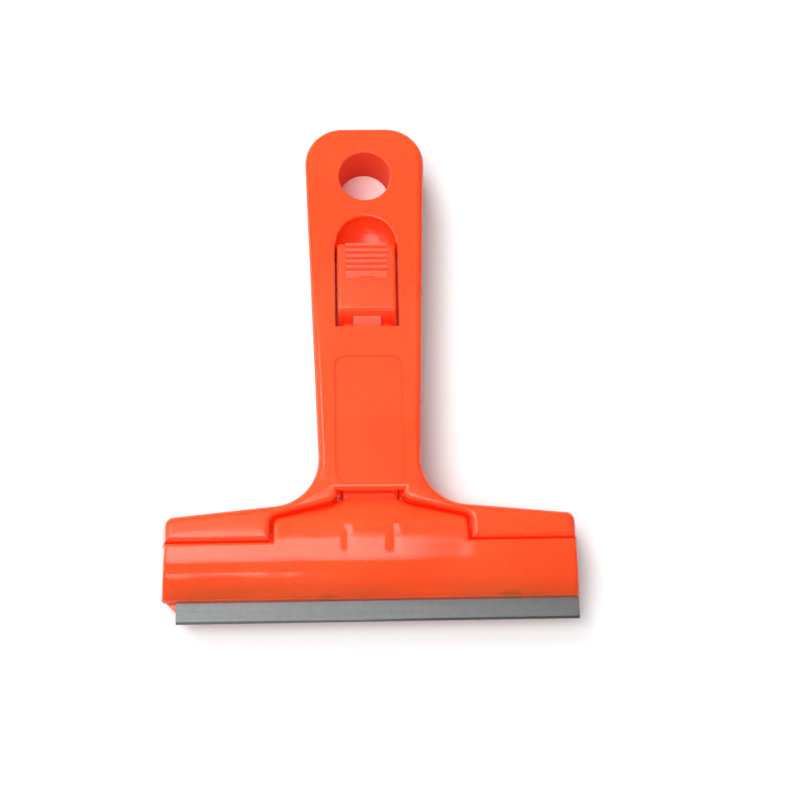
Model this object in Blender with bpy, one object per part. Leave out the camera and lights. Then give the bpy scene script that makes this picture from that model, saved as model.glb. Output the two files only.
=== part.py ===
"""Hand scraper that clamps a wide replaceable blade between a fixed rear jaw and a sprung front jaw.

X runs across the blade, +Y along the handle towards the hanging hole, +Z up out of the handle's
front face. The tool lies on its back: the open rear rims are at Z = 0, and X = Y = 0 is the
middle of the tool's own outline. All sizes are in metres.
"""

import math

import bmesh
import bpy
from mathutils import Matrix, Vector

# Blade
BLADE_LENGTH = 0.1000
BLADE_WIDTH = 0.0180
BLADE_THICKNESS = 0.0005
BLADE_GROUND_WIDTH = 0.0006
BLADE_EDGE_THICKNESS = 0.0002
BLADE_EXPOSED = 0.0052
BLADE_SIDE_SHIFT = 0.0017

# Stations along the tool, each a distance from the one before it
JAW_DEPTH = 0.0137
LEVER_GAP = 0.0004
SHOULDER_TO_BRIDGE = 0.01225
BRIDGE_TO_SLOT = 0.0428
SLOT_TO_SCOOP = 0.0226
SCOOP_RADIUS = 0.0083
SCOOP_TO_HOLE = 0.0041
HOLE_RADIUS = 0.00675
HOLE_TO_TOP = 0.0073

# Handle
GRIP_THICKNESS = 0.0150
GRIP_TOP_WIDTH = 0.0320
GRIP_NECK_WIDTH = 0.0249
GRIP_CORNER_RADIUS = 0.0100
FLARE_RADIUS = 0.0120
FRONT_EDGE_RADIUS = 0.0018
REAR_EDGE_RADIUS = 0.0003
SIDE_WALL = 0.0020
FRONT_WALL = 0.0017
HOLE_EDGE_RADIUS = 0.0005
HOLE_BOSS_WALL = 0.0022
SLOT_WIDTH = 0.0163
SLOT_EDGE_RADIUS = 0.0003
SLOT_CORNER_RADIUS = 0.0008
SCOOP_DEPTH = 0.0055
SCOOP_EDGE_RADIUS = 0.0006
PANEL_WIDTH = 0.0172
PANEL_LENGTH = 0.0335
PANEL_FROM_BRIDGE = 0.0014
PANEL_CORNER_RADIUS = 0.0026
PANEL_RECESS = 0.0003
STOP_LIP_WIDTH = 0.0062
STOP_LIP_REACH = 0.0005
STIFFENER_THICKNESS = 0.0012
STIFFENER_PITCH = 0.0125
STIFFENER_SETBACK = 0.0010

# Head of the handle, with the fixed rear jaw
HEAD_WIDTH = 0.1037
HEAD_FRONT_WIDTH = 0.1013
SHOULDER_HEIGHT = 0.0060
SHOULDER_SLOPE = math.radians(5.4)
SHOULDER_CORNER_RADIUS = 0.0022
BAY_EDGE_RADIUS = 0.0013
BAY_NOTCH_WIDTH = 0.0166
SADDLE_SIDE_GAP = 0.0009
TUNNEL_FLOOR_HEIGHT = 0.0040
SEAT_HEIGHT = 0.0060
SEAT_PLATE = 0.0018
REAR_JAW_SETBACK = 0.0025
REAR_JAW_CHAMFER = 0.0040
REAR_JAW_TIP = 0.0026
REAR_BEVEL_LENGTH = 0.0125
SEAT_CLEARANCE = 0.0003
STOP_BAR_HEIGHT = 0.0008

# Clamp lever: front jaw, tongue and button in one moulding
LEVER_WALL = 0.0018
PLATE_THICKNESS = 0.0017
LIP_HEIGHT = 0.0011
CREST_HEIGHT = 0.0143
CREST_FROM_SEAM = 0.0026
TONGUE_HEIGHT = 0.0115
TONGUE_WIDTH = 0.0138
SADDLE_WIDTH = 0.0482
SADDLE_SIDE = 0.0060
SADDLE_SHOULDER_WIDTH = 0.0190
SADDLE_FROM_BRIDGE = 0.0030
SADDLE_CORNER_RADIUS = 0.0022
JAW_CORNER_RADIUS = 0.0008
BUTTON_WIDTH = 0.0151
BUTTON_CLEARANCE = 0.0006
BUTTON_PROUD = 0.0002
BUTTON_FOOT = 0.0014
BUTTON_SLOPE_RUN = 0.0034
BUTTON_CORNER_RADIUS = 0.0008
LEVER_EDGE_RADIUS = 0.0009
CHANNEL_DEPTH_AT_PIVOT = 0.0083
CHANNEL_DEPTH = 0.0066
BUTTON_SKIRT = 0.0066
TAB_WIDTH = 0.0071
TAB_RISE = 0.0024
TAB_REACH = 0.0026
TAB_FALL = 0.0018
RIB_COUNT = 5
RIB_PITCH = 0.00155
RIB_WIDTH = 0.0007
RIB_HEIGHT = 0.0004
RIB_LENGTH = 0.0107
RIB_FROM_END = 0.00015
LEDGE_WIDTH = 0.0018
LEDGE_NOTCH_WIDTH = 0.0039
LEDGE_NOTCH_DEPTH = 0.0005
LEDGE_LOW_HEIGHT = 0.00012
FOOT_RIDGE_WIDTH = 0.0013
FOOT_RIDGE_HEIGHT = 0.0002
FOOT_RIDGE_LOW_HEIGHT = 0.00012
FOOT_RIDGE_SLOPE_RUN = 0.0003
FOOT_RIDGE_LENGTH = 0.0134
FOOT_BULGE_SHARE = 0.6

# Hinge and spring
PIVOT_FROM_BRIDGE = 0.0114
PIVOT_HEIGHT = 0.0065
PIN_RADIUS = 0.0015
PIN_CLEARANCE = 0.0001
PIN_CHAMFER = 0.0003
PIN_RECESS = 0.0003
BOSS_WALL = 0.0017
BOSS_SIDE_GAP = 0.0003
WIRE_RADIUS = 0.0005
SPRING_CLEARANCE = 0.0003
SPRING_PITCH = 0.0015
SPRING_TURNS = 4
LEVER_LEG_LENGTH = 0.0120
HANDLE_LEG_REACH = 0.0085

# One overrun for every cut, and the facets of round work
OVERRUN = 0.0020
LARGE_ARC_STEPS = 14
SMALL_ARC_STEPS = 5
EDGE_STEPS = 5
ROUND_STEPS = 48
SPRING_POINTS_PER_TURN = 10
LEAST_RADIUS = 0.00005
SMOOTH_ANGLE = math.radians(35)
BLADE_SMOOTH_ANGLE = math.radians(2)

# Stations worked out from the distances above
TOOL_LENGTH = (
    BLADE_EXPOSED + JAW_DEPTH + LEVER_GAP + SHOULDER_TO_BRIDGE + BRIDGE_TO_SLOT
    + SLOT_TO_SCOOP + SCOOP_RADIUS + SCOOP_TO_HOLE + 2 * HOLE_RADIUS + HOLE_TO_TOP
)
EDGE_Y = -TOOL_LENGTH / 2
LIP_Y = EDGE_Y + BLADE_EXPOSED
SEAM_Y = LIP_Y + JAW_DEPTH
SHOULDER_Y = SEAM_Y + LEVER_GAP
BRIDGE_Y = SHOULDER_Y + SHOULDER_TO_BRIDGE
PIVOT_Y = BRIDGE_Y + PIVOT_FROM_BRIDGE
SLOT_Y = BRIDGE_Y + BRIDGE_TO_SLOT
SCOOP_Y = SLOT_Y + SLOT_TO_SCOOP
HOLE_Y = SCOOP_Y + SCOOP_RADIUS + SCOOP_TO_HOLE + HOLE_RADIUS
TOP_Y = HOLE_Y + HOLE_RADIUS + HOLE_TO_TOP
BUTTON_END_Y = SCOOP_Y
BUTTON_TOP = GRIP_THICKNESS + BUTTON_PROUD
BLADE_BACK_Y = EDGE_Y + BLADE_WIDTH
STOP_Y = BLADE_BACK_Y + SEAT_CLEARANCE
BLADE_Z = SEAT_HEIGHT + SEAT_CLEARANCE
JAW_UNDERSIDE = BLADE_Z + BLADE_THICKNESS + SEAT_CLEARANCE
FRONT_UNDERSIDE = GRIP_THICKNESS - FRONT_WALL
TONGUE_UNDERSIDE = TONGUE_HEIGHT - PLATE_THICKNESS
PIVOT = Vector((0, PIVOT_Y, PIVOT_HEIGHT))
BORE_RADIUS = PIN_RADIUS + PIN_CLEARANCE
BOSS_RADIUS = BORE_RADIUS + BOSS_WALL

ORANGE = (1.0, 0.105, 0.030)
STEEL = (0.30, 0.31, 0.305)
WIRE_STEEL = (0.55, 0.55, 0.56)


def clear_scene():
    for obj in list(bpy.data.objects):
        bpy.data.objects.remove(obj, do_unlink=True)


def make_material(name, colour, roughness, metallic):
    material = bpy.data.materials.new(name)
    material.use_nodes = True
    shader = material.node_tree.nodes["Principled BSDF"]
    shader.inputs["Base Color"].default_value = (*colour, 1)
    shader.inputs["Roughness"].default_value = roughness
    shader.inputs["Metallic"].default_value = metallic
    material.diffuse_color = (*colour, 1)
    return material


def mirrored(right_side):
    """Closed outline, anticlockwise, from the corners of its right half listed from bottom to top."""
    left_side = [(-x, y, radius) for x, y, radius in reversed(right_side)]
    return right_side + left_side


def offset_corners(corners, distance):
    """The outline with each straight side moved outwards, and each rounded corner kept concentric."""
    moved = []
    count = len(corners)
    for index, (x, y, radius) in enumerate(corners):
        here = Vector((x, y))
        before = Vector(corners[index - 1][:2])
        after = Vector(corners[(index + 1) % count][:2])
        arriving = (here - before).normalized()
        leaving = (after - here).normalized()
        turn = arriving.x * leaving.y - arriving.y * leaving.x
        first_normal = Vector((arriving.y, -arriving.x))
        second_normal = Vector((leaving.y, -leaving.x))
        bisector = (first_normal + second_normal).normalized()
        corner = here + bisector * (distance / bisector.dot(first_normal))
        if radius:
            radius = max(radius + math.copysign(distance, distance * turn), LEAST_RADIUS)
        moved.append((corner.x, corner.y, radius))
    return moved


def outline_points(corners, steps):
    """Points along the outline, with each rounded corner as an arc of the given number of steps."""
    points = []
    count = len(corners)
    for index, (x, y, radius) in enumerate(corners):
        here = Vector((x, y))
        if not radius:
            points.append(here)
            continue
        before = Vector(corners[index - 1][:2])
        after = Vector(corners[(index + 1) % count][:2])
        arriving = (here - before).normalized()
        leaving = (after - here).normalized()
        turn = arriving.x * leaving.y - arriving.y * leaving.x
        angle = math.atan2(turn, arriving.dot(leaving))
        room = min((here - before).length, (after - here).length) / 2
        radius = min(radius, room / math.tan(abs(angle) / 2))
        start = here - arriving * (radius * math.tan(abs(angle) / 2))
        side = math.copysign(1, angle)
        centre = start + Vector((-arriving.y, arriving.x)) * (radius * side)
        spoke = start - centre
        for step in range(steps + 1):
            points.append(centre + Matrix.Rotation(angle * step / steps, 2) @ spoke)
    return points


def link_object(name, mesh, material=None):
    obj = bpy.data.objects.new(name, mesh)
    bpy.context.scene.collection.objects.link(obj)
    if material:
        mesh.materials.append(material)
    return obj


def as_helper(obj):
    """Marks a body that only cuts or shapes others."""
    obj.hide_render = True
    obj.display_type = "WIRE"
    return obj


def stacked(name, rings):
    """Closed body through rings of equally many points, listed from the first end to the last."""
    body = bmesh.new()
    loops = [[body.verts.new(point) for point in ring] for ring in rings]
    count = len(loops[0])
    for lower, upper in zip(loops, loops[1:]):
        for index in range(count):
            after = (index + 1) % count
            body.faces.new((lower[index], lower[after], upper[after], upper[index]))
    body.faces.new(reversed(loops[0]))
    body.faces.new(loops[-1])
    bmesh.ops.recalc_face_normals(body, faces=body.faces)
    mesh = bpy.data.meshes.new(name)
    body.to_mesh(mesh)
    body.free()
    return as_helper(link_object(name, mesh))


def prism(name, corners, bottom, top, steps=SMALL_ARC_STEPS):
    """Upright body of a plan outline."""
    return lofted(name, [(corners, bottom), (corners, top)], steps)


def lofted(name, sections, steps):
    """Body through plan outlines of equally many corners, each given with its height."""
    rings = []
    for corners, height in sections:
        rings.append([(p.x, p.y, height) for p in outline_points(corners, steps)])
    return stacked(name, rings)


def edge_rings(corners, face, below, radius, sense, steps):
    """Rings that round the edge at the height face: sense is -1 to draw in, 1 to flare out."""
    rings = []
    for step in range(EDGE_STEPS + 1):
        angle = math.pi / 2 * step / EDGE_STEPS
        height = face - below * (radius - radius * math.sin(angle))
        outline = offset_corners(corners, sense * (radius - radius * math.cos(angle)))
        rings.append([(p.x, p.y, height) for p in outline_points(outline, steps)])
    return rings


def drafted_slab(name, rear, draft_start, front, top):
    """Upright body with rounded edges that narrows from its rear outline to its front one."""
    rings = list(reversed(edge_rings(rear, 0, -1, REAR_EDGE_RADIUS, -1, LARGE_ARC_STEPS)))
    rings.append([(p.x, p.y, draft_start) for p in outline_points(rear, LARGE_ARC_STEPS)])
    rings += edge_rings(front, top, 1, FRONT_EDGE_RADIUS, -1, LARGE_ARC_STEPS)
    return stacked(name, rings)


def along_sides(corners, stations, clear_of_corners):
    """The outline with a point wherever a side crosses a station in y, well away from its corners."""
    finer = []
    count = len(corners)
    for index, corner in enumerate(corners):
        finer.append(corner)
        here = Vector(corner[:2])
        side = Vector(corners[(index + 1) % count][:2]) - here
        crossings = []
        for station in stations:
            if abs(side.y) > 0:
                reach = (station - here.y) / side.y * side.length
                if clear_of_corners < reach < side.length - clear_of_corners:
                    crossings.append(reach)
        for reach in sorted(crossings):
            point = here + side.normalized() * reach
            finer.append((point.x, point.y, 0))
    return finer


def height_on(profile, y):
    """Height of a side profile of (y, z) points, listed with y rising."""
    for (low_y, low_z), (high_y, high_z) in zip(profile, profile[1:]):
        if y <= high_y:
            return low_z + (high_z - low_z) * (y - low_y) / (high_y - low_y)
    return profile[-1][1]


def close_with_strips(body, ring):
    """Closes a mirrored ring with flat strips, each between two points and their mirror images."""
    half = len(ring) // 2
    right = ring[:half]
    left = ring[:half - 1:-1]
    rows = [[0]]
    for index in range(1, half):
        if abs(right[index].co.y - right[index - 1].co.y) < LEAST_RADIUS / 10:
            rows[-1].append(index)
        else:
            rows.append([index])
    for lower, upper in zip(rows, rows[1:]):
        widens = right[lower[-1]].co.x > right[lower[0]].co.x
        narrows = right[upper[-1]].co.x < right[upper[0]].co.x
        first = lower if widens or lower[0] == 0 else lower[-1:]
        second = upper if narrows or upper[-1] == half - 1 else upper[:1]
        corners = [left[i] for i in reversed(first)] + [right[i] for i in first]
        corners += [right[i] for i in second] + [left[i] for i in reversed(second)]
        body.faces.new(corners)


def draped_slab(name, rear, draft_start, front, profile, radius):
    """Upright body of mirrored plan outlines, whose rounded top follows a side profile."""
    body = bmesh.new()
    rear_points = outline_points(rear, SMALL_ARC_STEPS)
    loops = [[body.verts.new((p.x, p.y, height)) for p in rear_points] for height in (0, draft_start)]
    for step in range(EDGE_STEPS + 1):
        angle = math.pi / 2 * step / EDGE_STEPS
        drop = radius - radius * math.sin(angle)
        outline = offset_corners(front, radius * math.cos(angle) - radius)
        ring = outline_points(outline, SMALL_ARC_STEPS)
        loops.append([body.verts.new((p.x, p.y, height_on(profile, p.y) - drop)) for p in ring])
    count = len(loops[0])
    for lower, upper in zip(loops, loops[1:]):
        for index in range(count):
            after = (index + 1) % count
            body.faces.new((lower[index], lower[after], upper[after], upper[index]))
    body.faces.new(reversed(loops[0]))
    close_with_strips(body, loops[-1])
    bmesh.ops.triangulate(body, faces=body.faces)
    bmesh.ops.recalc_face_normals(body, faces=body.faces)
    mesh = bpy.data.meshes.new(name)
    body.to_mesh(mesh)
    body.free()
    return as_helper(link_object(name, mesh))


def flared_cutter(name, corners, bottom, face, radius, steps=SMALL_ARC_STEPS):
    """Cutter that leaves a rounded edge where it comes out through the given face."""
    rings = edge_rings(corners, face, 1, radius, 1, steps)
    foot = [(x, y, bottom) for x, y, _ in rings[0]]
    head = [(x, y, face + OVERRUN) for x, y, _ in rings[-1]]
    return stacked(name, [foot] + rings + [head])


def block(name, low, high):
    corners = [(low[0], low[1], 0), (high[0], low[1], 0), (high[0], high[1], 0), (low[0], high[1], 0)]
    return prism(name, corners, low[2], high[2])


def across(name, profile, left, right):
    """Body of a side profile of (y, z) points, running across the tool."""
    return stacked(name, [[(x, y, z) for y, z in profile] for x in (left, right)])


def circle(centre, radius, steps=ROUND_STEPS):
    angles = [2 * math.pi * step / steps for step in range(steps)]
    return [(centre[0] + radius * math.cos(a), centre[1] + radius * math.sin(a)) for a in angles]


def combine(target, other, operation):
    modifier = target.modifiers.new(f"{operation.lower()}_{other.name}", "BOOLEAN")
    modifier.operation = operation
    modifier.object = other
    return target


def both_sides(name, maker):
    """A body on each side of the tool's middle, from a maker that takes a name and a side of 1 or -1."""
    return [maker(f"{name}_right", 1), maker(f"{name}_left", -1)]


def side_block(name, side, near, far, low, high):
    """Block between two distances from the middle, on one side; low and high are (y, z)."""
    left, right = sorted((side * near, side * far))
    return block(name, (left, low[0], low[1]), (right, high[0], high[1]))


def finish(obj, name, material, origin, smooth_angle=SMOOTH_ANGLE):
    """Turns a shaped helper into a visible piece with its origin where it is joined."""
    obj.name = name
    obj.data.name = name
    obj.hide_render = False
    obj.display_type = "TEXTURED"
    obj.data.transform(Matrix.Translation(-origin))
    obj.location = origin
    obj.data.materials.append(material)
    obj.data.shade_smooth()
    obj.data.set_sharp_from_angle(angle=smooth_angle)
    return obj


def head_half_width(height):
    """The head's ends stand upright up to the front jaw and then lean inwards."""
    full = GRIP_THICKNESS - FRONT_EDGE_RADIUS - JAW_UNDERSIDE
    share = min(max((height - JAW_UNDERSIDE) / full, 0), 1)
    return (HEAD_WIDTH - (HEAD_WIDTH - HEAD_FRONT_WIDTH) * share) / 2


def shoulder_line(x):
    """Height along Y of the shoulders' top edge."""
    return SHOULDER_Y + SHOULDER_HEIGHT + (HEAD_WIDTH / 2 - x) * math.tan(SHOULDER_SLOPE)


def handle_corners(height):
    """Outline of the handle moulding with the fixed rear jaw, seen from the front."""
    jaw_y = EDGE_Y + REAR_JAW_SETBACK
    end = head_half_width(height)
    neck_half = GRIP_NECK_WIDTH / 2
    right_side = [
        (end - REAR_JAW_CHAMFER, jaw_y, SEAT_CLEARANCE),
        (end, jaw_y + REAR_JAW_CHAMFER, SEAT_CLEARANCE),
        (end, SHOULDER_Y + SHOULDER_HEIGHT, SHOULDER_CORNER_RADIUS),
        (neck_half, shoulder_line(neck_half), FLARE_RADIUS),
        (GRIP_TOP_WIDTH / 2, TOP_Y, GRIP_CORNER_RADIUS),
    ]
    return mirrored(right_side)


def saddle_corners():
    """Right half of the lever from the wide jaw's seam up to the tongue, from bottom to top."""
    saddle_half = SADDLE_WIDTH / 2
    neck_half = SADDLE_SHOULDER_WIDTH / 2
    neck_y = BRIDGE_Y - SADDLE_FROM_BRIDGE
    return [
        (saddle_half, SEAM_Y, SEAT_CLEARANCE),
        (saddle_half, SEAM_Y + SADDLE_SIDE, SADDLE_CORNER_RADIUS),
        (neck_half, neck_y, SEAT_CLEARANCE),
        (TONGUE_WIDTH / 2, BRIDGE_Y - SADDLE_FROM_BRIDGE / 2, SEAT_CLEARANCE),
    ]


def lever_corners(lip_height, seam_height):
    """Outline of the clamp lever seen from the front, at two heights of its drafted ends."""
    foot_y = SLOT_Y + BUTTON_FOOT / 2
    right_side = [
        (head_half_width(lip_height), LIP_Y, JAW_CORNER_RADIUS),
        (head_half_width(seam_height), SEAM_Y, JAW_CORNER_RADIUS / 2),
        *saddle_corners(),
        (TONGUE_WIDTH / 2, foot_y, 0),
        (BUTTON_WIDTH / 2, foot_y, 0),
        (BUTTON_WIDTH / 2, BUTTON_END_Y, BUTTON_CORNER_RADIUS),
    ]
    return mirrored(right_side)


def lever_rear_corners():
    return lever_corners(JAW_UNDERSIDE, JAW_UNDERSIDE)


def lever_front_corners():
    return lever_corners(JAW_UNDERSIDE + LIP_HEIGHT, CREST_HEIGHT)


def bay_corners(margin):
    """Outline of the bay that the lever lies in, with the lever's gap and a further margin."""
    beyond = HEAD_WIDTH / 2 + FRONT_EDGE_RADIUS + OVERRUN
    notch = BAY_NOTCH_WIDTH / 2 - LEVER_GAP
    side = SADDLE_WIDTH / 2 + SADDLE_SIDE_GAP - LEVER_GAP
    right_side = [
        (beyond, EDGE_Y - OVERRUN, 0),
        (beyond, SEAM_Y, 0),
        (side, SEAM_Y, SEAT_CLEARANCE),
        (side, SEAM_Y + SADDLE_SIDE, SADDLE_CORNER_RADIUS),
        (SADDLE_SHOULDER_WIDTH / 2, BRIDGE_Y - SADDLE_FROM_BRIDGE, SEAT_CLEARANCE),
        (notch, BRIDGE_Y - SADDLE_FROM_BRIDGE / 2, SEAT_CLEARANCE),
        (notch, BRIDGE_Y - LEVER_GAP, 0),
    ]
    return offset_corners(mirrored(right_side), LEVER_GAP + margin)


def scoop(name, growth):
    """Turned cutter of the thumb scoop: half an ellipse in section, with a rounded rim."""
    edge = SCOOP_EDGE_RADIUS
    reach = SCOOP_RADIUS - edge + growth
    depth = SCOOP_DEPTH - edge + growth
    brim = GRIP_THICKNESS - edge
    profile = [(LEAST_RADIUS, brim - depth)]
    for step in range(1, LARGE_ARC_STEPS + 1):
        angle = math.pi / 2 * step / LARGE_ARC_STEPS
        profile.append((reach * math.sin(angle), brim - depth * math.cos(angle)))
    for step in range(1, EDGE_STEPS + 1):
        angle = math.pi / 2 * step / EDGE_STEPS
        profile.append((reach + edge - edge * math.cos(angle), brim + edge * math.sin(angle)))
    profile.append((reach + edge, GRIP_THICKNESS + OVERRUN))
    rings = [[(x, y, z) for x, y in circle((0, SCOOP_Y), radius)] for radius, z in profile]
    return stacked(name, rings)


def slot_corners():
    """The button's slot, with a lip in its lower edge that stops the lever's tab."""
    half = SLOT_WIDTH / 2
    lip = STOP_LIP_WIDTH / 2
    end_y = BUTTON_END_Y + BUTTON_CLEARANCE
    right_side = [
        (lip, SLOT_Y + STOP_LIP_REACH, 0),
        (lip, SLOT_Y, 0),
        (half, SLOT_Y, SEAT_CLEARANCE),
        (half, end_y, SLOT_CORNER_RADIUS),
    ]
    return mirrored(right_side)


def handle_cavity():
    """Cutter for the open rear of the handle; what is taken off it stays standing as walls and ribs."""
    rear = offset_corners(handle_corners(0), -SIDE_WALL)
    front = offset_corners(handle_corners(FRONT_UNDERSIDE), -SIDE_WALL)
    sections = [(rear, -OVERRUN), (rear, JAW_UNDERSIDE), (front, FRONT_UNDERSIDE)]
    cavity = lofted("cavity", sections, LARGE_ARC_STEPS)
    bay_wall = prism("bay_wall", bay_corners(SIDE_WALL), SEAT_HEIGHT - SEAT_PLATE, GRIP_THICKNESS)
    combine(cavity, bay_wall, "DIFFERENCE")
    combine(cavity, tunnel_floor(), "DIFFERENCE")
    boss_ring = [(x, y, 0) for x, y in circle((0, HOLE_Y), HOLE_RADIUS + HOLE_BOSS_WALL)]
    combine(cavity, prism("hole_boss", boss_ring, -OVERRUN * 2, GRIP_THICKNESS), "DIFFERENCE")
    combine(cavity, scoop("scoop_wall", FRONT_WALL), "DIFFERENCE")
    for stiffener in handle_stiffeners():
        combine(cavity, stiffener, "DIFFERENCE")
    for boss in both_sides("pin_boss", pin_boss):
        combine(cavity, boss, "DIFFERENCE")
    return cavity


def tunnel_floor():
    """Step down of the seat plate below the tongue, reaching under the bridge."""
    half = BAY_NOTCH_WIDTH / 2 + STIFFENER_THICKNESS
    low = (-half, SHOULDER_Y, TUNNEL_FLOOR_HEIGHT - SEAT_PLATE)
    high = (half, BRIDGE_Y + SIDE_WALL + STIFFENER_THICKNESS, SEAT_HEIGHT - SEAT_PLATE / 2)
    return block("tunnel_floor", low, high)


def pin_boss(name, side):
    """Boss between the handle's side wall and the lever, carried by the front wall."""
    near = TONGUE_WIDTH / 2 + BOSS_SIDE_GAP
    far = GRIP_TOP_WIDTH / 2
    arc = [
        (PIVOT_Y + BOSS_RADIUS * math.cos(angle), PIVOT_HEIGHT + BOSS_RADIUS * math.sin(angle))
        for angle in (math.pi + math.pi * step / ROUND_STEPS * 2 for step in range(ROUND_STEPS // 2 + 1))
    ]
    arc += [(PIVOT_Y + BOSS_RADIUS, GRIP_THICKNESS), (PIVOT_Y - BOSS_RADIUS, GRIP_THICKNESS)]
    left, right = sorted((side * near, side * far))
    return across(name, arc, left, right)


def handle_stiffeners():
    """Ribs of the open rear: round the hanging hole, beside the tongue and button, behind the head."""
    half = STIFFENER_THICKNESS / 2
    deep = STIFFENER_SETBACK
    reach = GRIP_TOP_WIDTH / 2
    wall_y = SCOOP_Y + SCOOP_RADIUS + FRONT_WALL
    ribs = [
        block("hole_rib", (-reach, HOLE_Y - half, deep), (reach, HOLE_Y + half, GRIP_THICKNESS)),
        block("top_rib", (-half, HOLE_Y, deep), (half, TOP_Y, GRIP_THICKNESS)),
        block("scoop_rib", (-reach, wall_y - half, deep), (reach, wall_y + half, GRIP_THICKNESS)),
    ]
    rail_low = (PIVOT_Y + BOSS_RADIUS, deep)
    rail_high = (wall_y, GRIP_THICKNESS)
    near = SLOT_WIDTH / 2 - SEAT_CLEARANCE
    far = near + SIDE_WALL

    def rail(name, side):
        return side_block(name, side, near, far, rail_low, rail_high)

    ribs += both_sides("tongue_rail", rail)
    count = int((HEAD_WIDTH / 2 - SIDE_WALL) / STIFFENER_PITCH)
    for number in range(1, count + 1):
        middle = number * STIFFENER_PITCH
        low = (EDGE_Y, -OVERRUN * 2)
        high = (PIVOT_Y, GRIP_THICKNESS)

        def head_rib(name, side, middle=middle, low=low, high=high):
            return side_block(name, side, middle - half, middle + half, low, high)

        ribs += both_sides(f"head_rib_{number}", head_rib)
    return ribs


def rear_bevel():
    """Cutter that slopes the head's rear face up towards the blade."""
    jaw_y = EDGE_Y + REAR_JAW_SETBACK
    tip = SEAT_HEIGHT - REAR_JAW_TIP
    rise = tip / REAR_BEVEL_LENGTH
    profile = [
        (jaw_y - OVERRUN, -OVERRUN),
        (jaw_y + REAR_BEVEL_LENGTH + OVERRUN / rise, -OVERRUN),
        (jaw_y - OVERRUN, tip + OVERRUN * rise),
    ]
    return across("rear_bevel", profile, -HEAD_WIDTH, HEAD_WIDTH)


def bay_cutter():
    """Cutter for the lever's bay: it leaves the blade's seat and a bar that the blade stops on."""
    bay = flared_cutter("bay", bay_corners(0), SEAT_HEIGHT, GRIP_THICKNESS, BAY_EDGE_RADIUS)
    tunnel_half = TONGUE_WIDTH / 2 + LEVER_GAP
    low = (STOP_Y, SEAT_HEIGHT - OVERRUN)
    high = (SHOULDER_Y + SIDE_WALL, SEAT_HEIGHT + STOP_BAR_HEIGHT)

    def bar(name, side):
        return side_block(name, side, tunnel_half, HEAD_WIDTH, low, high)

    for piece in both_sides("stop_bar", bar):
        combine(bay, piece, "DIFFERENCE")
    return bay


def tunnel_cutter():
    """Way for the tongue from the bay to the cavity, above its own floor."""
    half = TONGUE_WIDTH / 2 + LEVER_GAP
    low = (-half, SHOULDER_Y, TUNNEL_FLOOR_HEIGHT)
    high = (half, BRIDGE_Y + SIDE_WALL + OVERRUN, FRONT_UNDERSIDE)
    return block("tunnel", low, high)


def panel_corners():
    low = BRIDGE_Y + PANEL_FROM_BRIDGE
    half = PANEL_WIDTH / 2
    high = low + PANEL_LENGTH
    return mirrored([(half, low, PANEL_CORNER_RADIUS), (half, high, PANEL_CORNER_RADIUS)])


def make_handle():
    rear = handle_corners(0)
    front = handle_corners(GRIP_THICKNESS)
    handle = drafted_slab("handle", rear, JAW_UNDERSIDE, front, GRIP_THICKNESS)
    combine(handle, handle_cavity(), "DIFFERENCE")
    combine(handle, rear_bevel(), "DIFFERENCE")
    combine(handle, bay_cutter(), "DIFFERENCE")
    combine(handle, tunnel_cutter(), "DIFFERENCE")
    slot = flared_cutter("slot", slot_corners(), -OVERRUN, GRIP_THICKNESS, SLOT_EDGE_RADIUS)
    combine(handle, slot, "DIFFERENCE")
    combine(handle, scoop("scoop", 0), "DIFFERENCE")
    panel = prism("panel", panel_corners(), GRIP_THICKNESS - PANEL_RECESS, GRIP_THICKNESS + OVERRUN)
    combine(handle, panel, "DIFFERENCE")
    hole_ring = circle((0, HOLE_Y), HOLE_RADIUS)
    hole_corners = [(x, y, 0) for x, y in hole_ring]
    hole = flared_cutter("hole", hole_corners, -OVERRUN, GRIP_THICKNESS, HOLE_EDGE_RADIUS)
    combine(handle, hole, "DIFFERENCE")
    bore_ring = circle((PIVOT_Y, PIVOT_HEIGHT), BORE_RADIUS)
    combine(handle, across("handle_bore", bore_ring, -GRIP_TOP_WIDTH, GRIP_TOP_WIDTH), "DIFFERENCE")
    material = make_material("handle_plastic", ORANGE, 0.30, 0)
    return finish(handle, "handle", material, Vector((0, 0, 0)))


def lever_top():
    """Side profile of the lever's front surface as (y, z), from the jaw's lip to the button's end."""
    crest_y = SEAM_Y + CREST_FROM_SEAM
    lip_top = JAW_UNDERSIDE + LIP_HEIGHT
    run = crest_y - LIP_Y
    drop = CREST_HEIGHT - lip_top
    radius = (run ** 2 + drop ** 2) / (2 * drop)
    spread = math.asin(run / radius)
    points = []
    for step in range(LARGE_ARC_STEPS):
        angle = spread * (1 - step / LARGE_ARC_STEPS)
        points.append((crest_y - radius * math.sin(angle), CREST_HEIGHT - radius * (1 - math.cos(angle))))
    fall = CREST_HEIGHT - TONGUE_HEIGHT
    for step in range(LARGE_ARC_STEPS + 1):
        share = step / LARGE_ARC_STEPS
        height = TONGUE_HEIGHT + fall * (1 + math.cos(math.pi * share)) / 2
        points.append((crest_y + (BRIDGE_Y - crest_y) * share, height))
    foot = SLOT_Y + BUTTON_FOOT
    for step in range(SMALL_ARC_STEPS + 1):
        share = step / SMALL_ARC_STEPS
        rise_share = share + FOOT_BULGE_SHARE * share * (1 - share)
        height = TONGUE_HEIGHT + (BUTTON_TOP - TONGUE_HEIGHT) * rise_share
        points.append((foot + BUTTON_SLOPE_RUN * share, height))
    points.append((BUTTON_END_Y + OVERRUN, BUTTON_TOP))
    return points


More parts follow.
